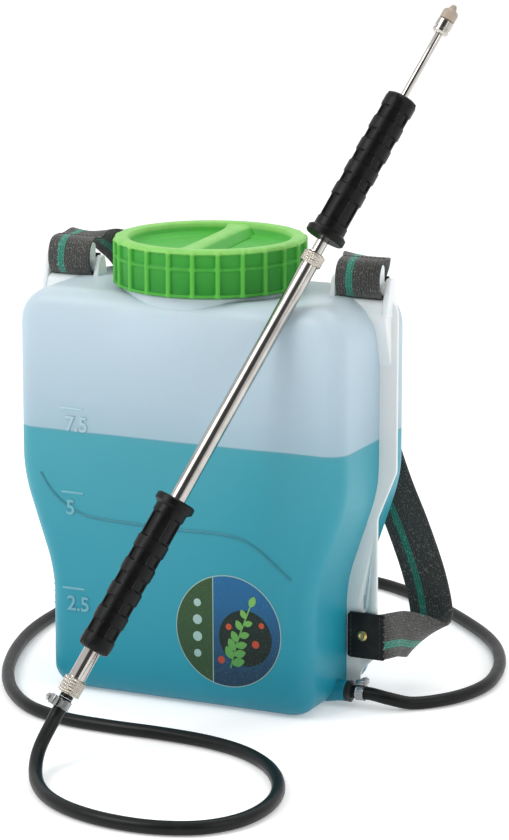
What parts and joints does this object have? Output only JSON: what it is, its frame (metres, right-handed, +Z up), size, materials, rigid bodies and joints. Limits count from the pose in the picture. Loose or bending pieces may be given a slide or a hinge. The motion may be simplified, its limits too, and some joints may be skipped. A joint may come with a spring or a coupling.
{
  "type": "backpack sprayer",
  "caption": "Knapsack sprayer: translucent waisted tank with a ribbed screw lid and webbing straps, and a hose to a slide-pump lance that leans on it.",
  "frame": {"origin": "under the centre of the lid, on the flat base of the tank, where the sprayer stands", "axes": "+Z up; -Y is the front with the round label; +Y is the side worn against the back; +X is the side with the hose outlet"},
  "size_m": [0.4278, 0.6924, 0.5591],
  "materials": {
    "tank_white": "translucent white polyethylene",
    "lid_green": "bright green moulded plastic",
    "webbing": "charcoal webbing with a green stripe",
    "rubber_black": "black rubber",
    "grip_black": "black moulded grip",
    "chrome": "bright chrome plate",
    "nickel": "nickel plate",
    "brass": "plain brass",
    "steel": "stainless steel",
    "white_plastic": "off-white plastic",
    "black_plastic": "black plastic",
    "label_film": "printed film label"
  },
  "bodies": {
    "tank": {"tank_shell": "tank_white", "front_label": "label_film", "filler_strainer": "white_plastic", "strap_left": "webbing", "strap_right": "webbing", "strap_backing_left": "webbing", "strap_backing_right": "webbing", "strap_rivet_left": "brass", "strap_rivet_right": "brass", "outlet_seal": "rubber_black", "outlet_fitting": "black_plastic", "outlet_backnut": "black_plastic", "outlet_filter": "steel", "outlet_clamp_band": "steel", "outlet_clamp_screw": "steel", "hose": "rubber_black"},
    "lid_ring": {"lid_gasket": "rubber_black"},
    "lid": {"screw_lid": "lid_green", "vent_valve": "rubber_black"},
    "lance": {"barrel_tube": "chrome", "lower_grip": "grip_black", "gland_nut": "chrome", "gland_seal": "rubber_black", "gland_bush": "white_plastic", "union_nut": "chrome", "hose_tail": "nickel", "tail_washer": "rubber_black", "inlet_seat": "nickel", "inlet_spring": "steel", "spring_keeper": "white_plastic", "lance_clamp_band": "steel", "lance_clamp_screw": "steel"},
    "inlet_valve": {"inlet_ball": "steel"},
    "plunger": {"plunger_tube": "chrome", "piston": "brass", "piston_cup": "rubber_black", "upper_grip": "grip_black", "wand_tube": "chrome"},
    "discharge_valve": {"discharge_ball": "steel"},
    "nozzle": {"nozzle_nut": "chrome", "nozzle_tip": "white_plastic"}
  },
  "joints": [
    {"name": "lid_lift", "type": "slide", "parent": "tank", "child": "lid_ring", "axis": [0, 0, 1], "range_m": [0, 0.0241]},
    {"name": "lid_turn", "type": "hinge", "parent": "lid_ring", "child": "lid", "pos_m": [0, 0, 0.36], "axis": [0, 0, 1], "range_deg": [0, 720]},
    {"name": "lance_tilt", "type": "hinge", "parent": "tank", "child": "lance", "pos_m": [-0.01507, -0.22451, 0.04927], "axis": [1, 0, 0], "range_deg": [0, 60], "deforming": ["hose"]},
    {"name": "pump_stroke", "type": "slide", "parent": "lance", "child": "plunger", "axis": [0.3236, 0.4588, 0.8275], "range_m": [-0.012, 0.25]},
    {"name": "nozzle_turn", "type": "hinge", "parent": "plunger", "child": "nozzle", "pos_m": [0.18208, 0.05502, 0.55349], "axis": [0.3236, 0.4588, 0.8275], "range_deg": [0, 360]},
    {"name": "inlet_ball_lift", "type": "slide", "parent": "lance", "child": "inlet_valve", "axis": [0.3236, 0.4588, 0.8275], "range_m": [0, 0.002], "stiffness_N_per_m": 40, "springref_m": -0.002, "deforming": ["inlet_spring"]},
    {"name": "discharge_ball_lift", "type": "slide", "parent": "plunger", "child": "discharge_valve", "axis": [0.3236, 0.4588, 0.8275], "range_m": [0, 0.003]}
  ],
  "couplings": [
    {"joint": "lid_lift", "follows": "lid_turn", "m_per_rad": 0.0019099}
  ]
}
